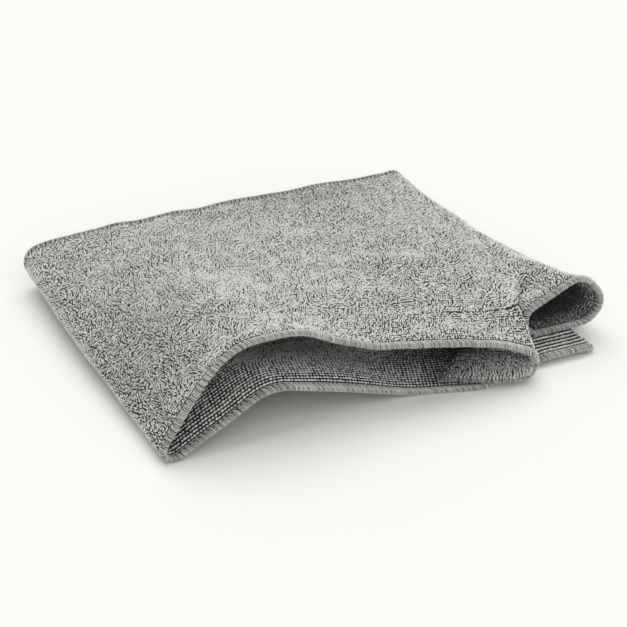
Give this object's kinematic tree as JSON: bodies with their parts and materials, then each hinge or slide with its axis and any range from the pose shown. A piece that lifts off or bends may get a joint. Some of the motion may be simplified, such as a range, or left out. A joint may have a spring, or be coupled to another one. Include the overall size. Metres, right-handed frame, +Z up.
{
  "type": "folded microfibre cloth",
  "caption": "Grey terry microfibre cleaning cloth with an overlocked hem, loosely folded to and fro into a soft packet.",
  "frame": {"origin": "centre of the bounding box in plan, at the face that lies on the table", "axes": "+Z up from the table, +X along the long side across the folds, +Y from the front hem to the back hem"},
  "size_m": [0.2872, 0.2206, 0.059],
  "materials": {
    "microfibre_grey": "matt terry knit"
  },
  "bodies": {
    "root": {"microfibre_cloth": "microfibre_grey"}
  },
  "joints": []
}
